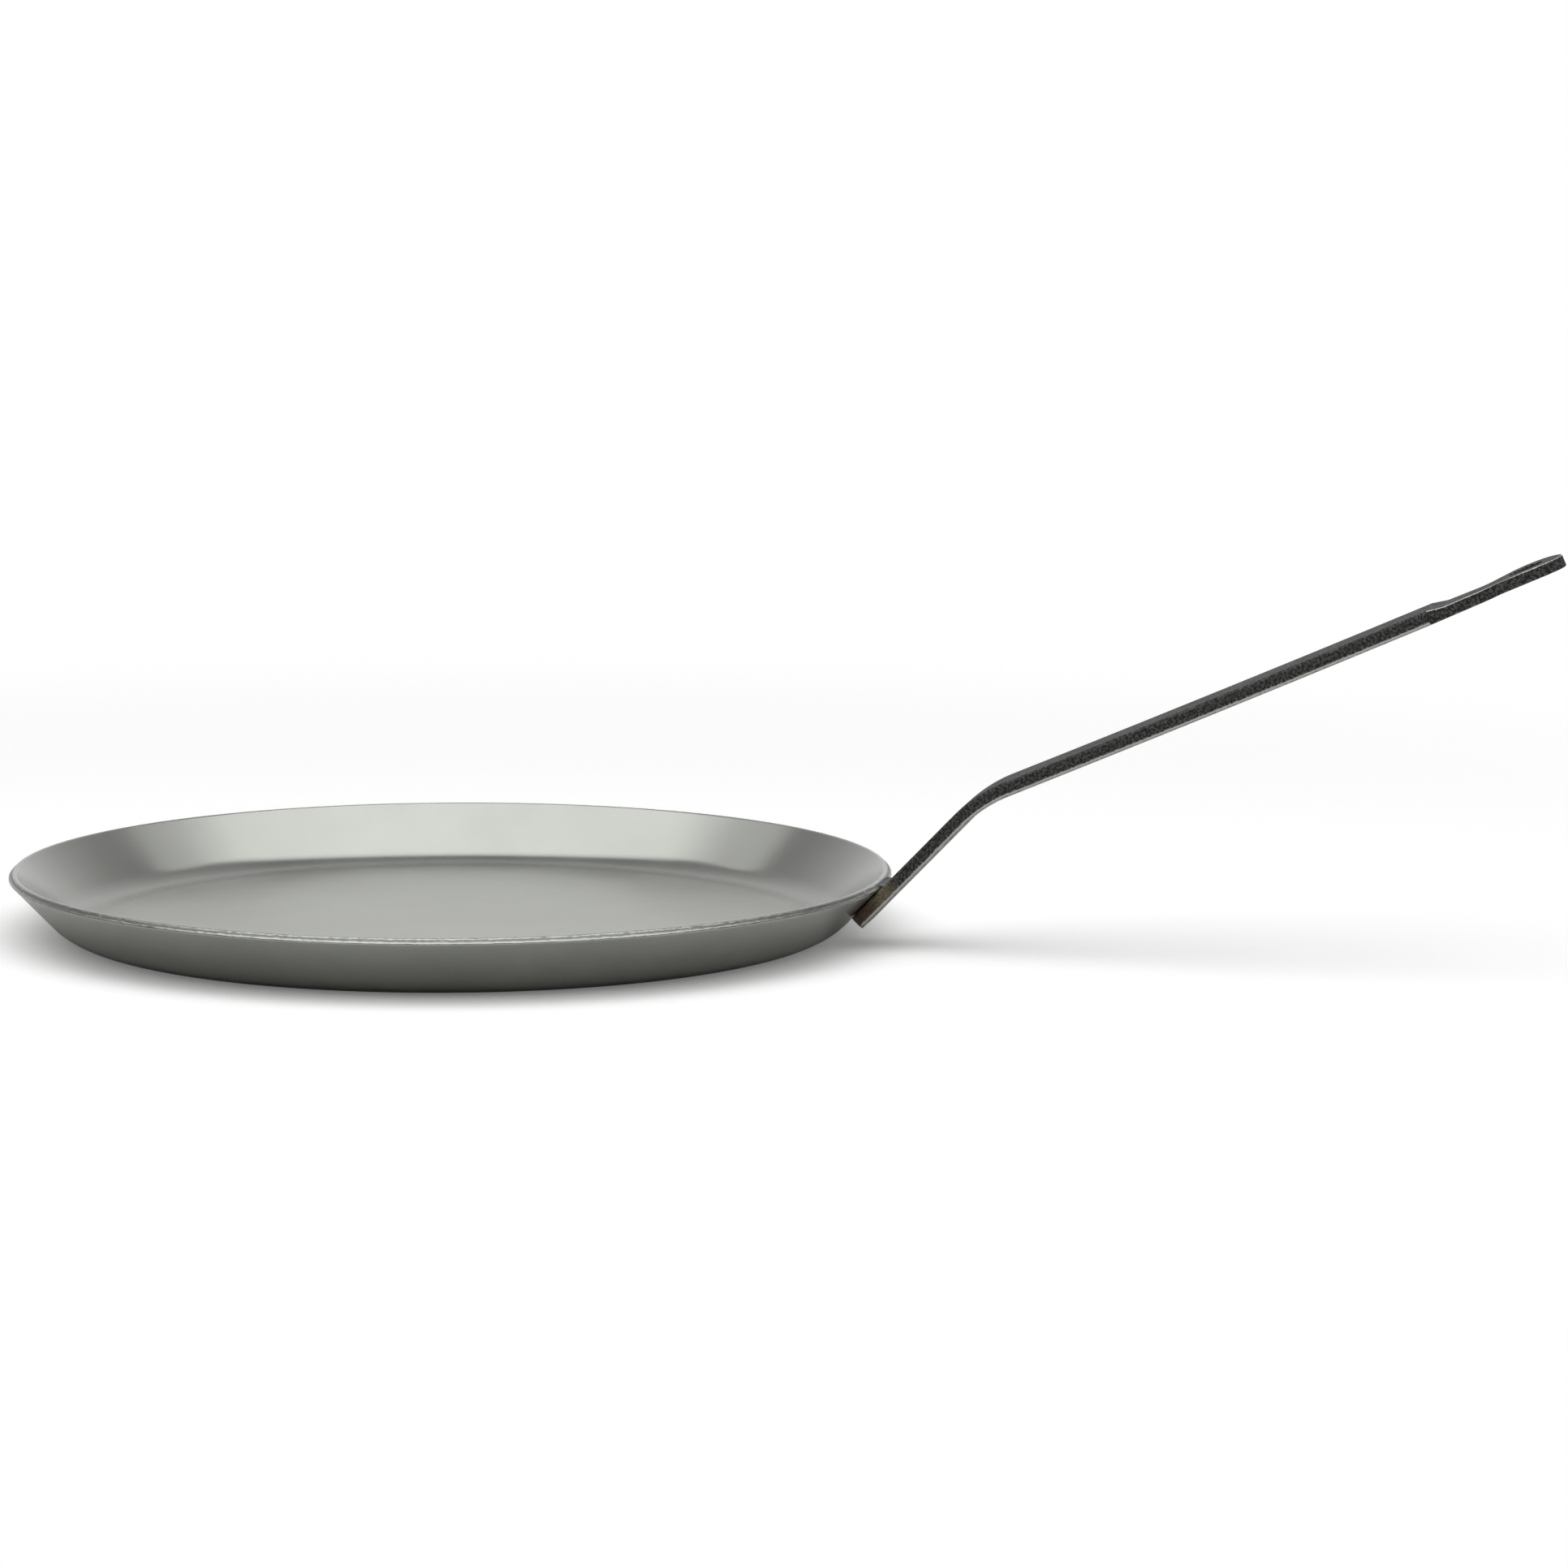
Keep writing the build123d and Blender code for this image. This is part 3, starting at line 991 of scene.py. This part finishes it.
def weldMetal():
    # weld metal as it froze: dull blue-grey, slightly mottled, brighter than the coat beside it
    b = beadSettings
    material, tree = newMaterial("weld metal as laid")
    add = partial(addNode, tree)
    place = add("ShaderNodeTexCoord").outputs["Object"]
    cloud = add("ShaderNodeTexNoise", {"Vector": place, **b["cloud"]})
    tint = add("ShaderNodeMix", {0: cloud, **b["tints"]}, data_type="RGBA")
    look = {"Base Color": tint, "Metallic": 1.0, "Roughness": b["roughness"]}
    add("ShaderNodeOutputMaterial", (add("ShaderNodeBsdfPrincipled", look),))
    return material


def makeBeadBlank():
    # fillet weld before its ripples: a triangle with a crowned face, drawn in at both ends
    b = beadSettings
    corner, along, across = rimCorner()
    half, n = b["leg"] / 2, b["arcSteps"]
    radius = (2 * half**2 + b["crown"] ** 2) / (2 * b["crown"])
    outward = (along + across).normalized()
    sideways = (along - across).normalized()
    centre = (along + across) * half + outward * (b["crown"] - radius)
    toe = along * b["leg"] - centre
    widest = atan2(toe.dot(sideways), toe.dot(outward))
    section = [(along * b["leg"], 0.0)]
    for i in range(1, n):
        turn = widest * (1 - 2 * i / n)
        way = outward * cos(turn) + sideways * sin(turn)
        section.append((centre + way * radius, sin(pi * i / n)))
    section.append((across * b["leg"], 0.0))
    section.append((across * b["leg"] - along * b["sink"], 0.0))
    section.append((-along * b["sink"] - across * b["seat"], 0.0))
    section.append((along * b["leg"] - across * b["seat"], 0.0))
    mesh = bmesh.new()
    layer = mesh.verts.layers.float.new("rippleShare")
    rings = []
    count = round(b["length"] / b["station"])
    for i in range(count + 1):
        y = b["length"] * (i / count - 0.5)
        past = max(0, abs(y) - b["length"] / 2 + b["endLength"]) / b["endLength"]
        size = b["endShare"] + (1 - b["endShare"]) * sqrt(max(0, 1 - past**2))
        ring = []
        for point, share in section:
            spot = corner + point * size
            ring.append(mesh.verts.new((spot.x * mm, y * mm, spot.y * mm)))
            ring[-1][layer] = share * size
        rings.append(ring)
    for first, second in zip(rings, rings[1:]):
        for j in range(len(section)):
            k = (j + 1) % len(section)
            mesh.faces.new((first[j], first[k], second[k], second[j]))
    mesh.faces.new(rings[0][::-1])
    mesh.faces.new(rings[-1])
    bmesh.ops.recalc_face_normals(mesh, faces=mesh.faces)
    data = bpy.data.meshes.new("beadBlank")
    mesh.to_mesh(data)
    mesh.free()
    return data, outward


def rippleTree():
    # the welder's steps: shallow curved ripples, one behind the other along the bead
    floats = ("Ripple Depth", "Ripple Pitch", "Ripple Bow")
    sockets = {"Float": floats, "Vector": ("Outward",), "Material": ("Material",)}
    tree, given = newTree("rippledBead", sockets)
    add = partial(addNode, tree)
    spot = add("GeometryNodeInputPosition")
    y = add("ShaderNodeSeparateXYZ", (spot,)).outputs["Y"]
    share = add("GeometryNodeInputNamedAttribute", {"Name": "rippleShare"}, data_type="FLOAT")
    step = add("ShaderNodeMath", (y, given["Ripple Pitch"]), operation="DIVIDE")
    bow = add("ShaderNodeMath", (share, given["Ripple Bow"]), operation="MULTIPLY")
    step = add("ShaderNodeMath", (step, bow), operation="ADD")

    # each ripple deepens faster and faster, then jumps back to full height
    low = add("ShaderNodeMath", (step,), operation="FRACT")
    low = add("ShaderNodeMath", (low, 2.0), operation="POWER")
    low = add("ShaderNodeMath", (low, share), operation="MULTIPLY")
    inwards = add("ShaderNodeMath", (given["Ripple Depth"], -1.0), operation="MULTIPLY")
    push = add("ShaderNodeMath", (low, inwards), operation="MULTIPLY")
    offset = add("ShaderNodeVectorMath", {0: given["Outward"], "Scale": push}, operation="SCALE")
    rippled = add("GeometryNodeSetPosition", {"Geometry": given["Geometry"], "Offset": offset})
    smooth = add("GeometryNodeSetShadeSmooth", {"Geometry": rippled})
    finishTree(tree, smooth, given["Material"])
    return tree


def makeWelds():
    b = beadSettings
    metal = weldMetal()
    dress(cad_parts["rim_weld"], metal)
    dress(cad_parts["spot_weld"], metal)
    blank, outward = makeBeadBlank()
    values = {
        "Ripple Depth": b["rippleDepth"] * mm,
        "Ripple Pitch": b["ripplePitch"] * mm,
        "Ripple Bow": b["rippleBow"],
        "Outward": (outward.x, 0.0, outward.y),
        "Material": metal,
    }
    handOver(runTree("rimBead", rippleTree(), blank, values), "rim_weld")


scene.view_settings.view_transform = "Standard"
makeCamera()
makeStudio()
makeDish()
makeHandle()
makeWelds()
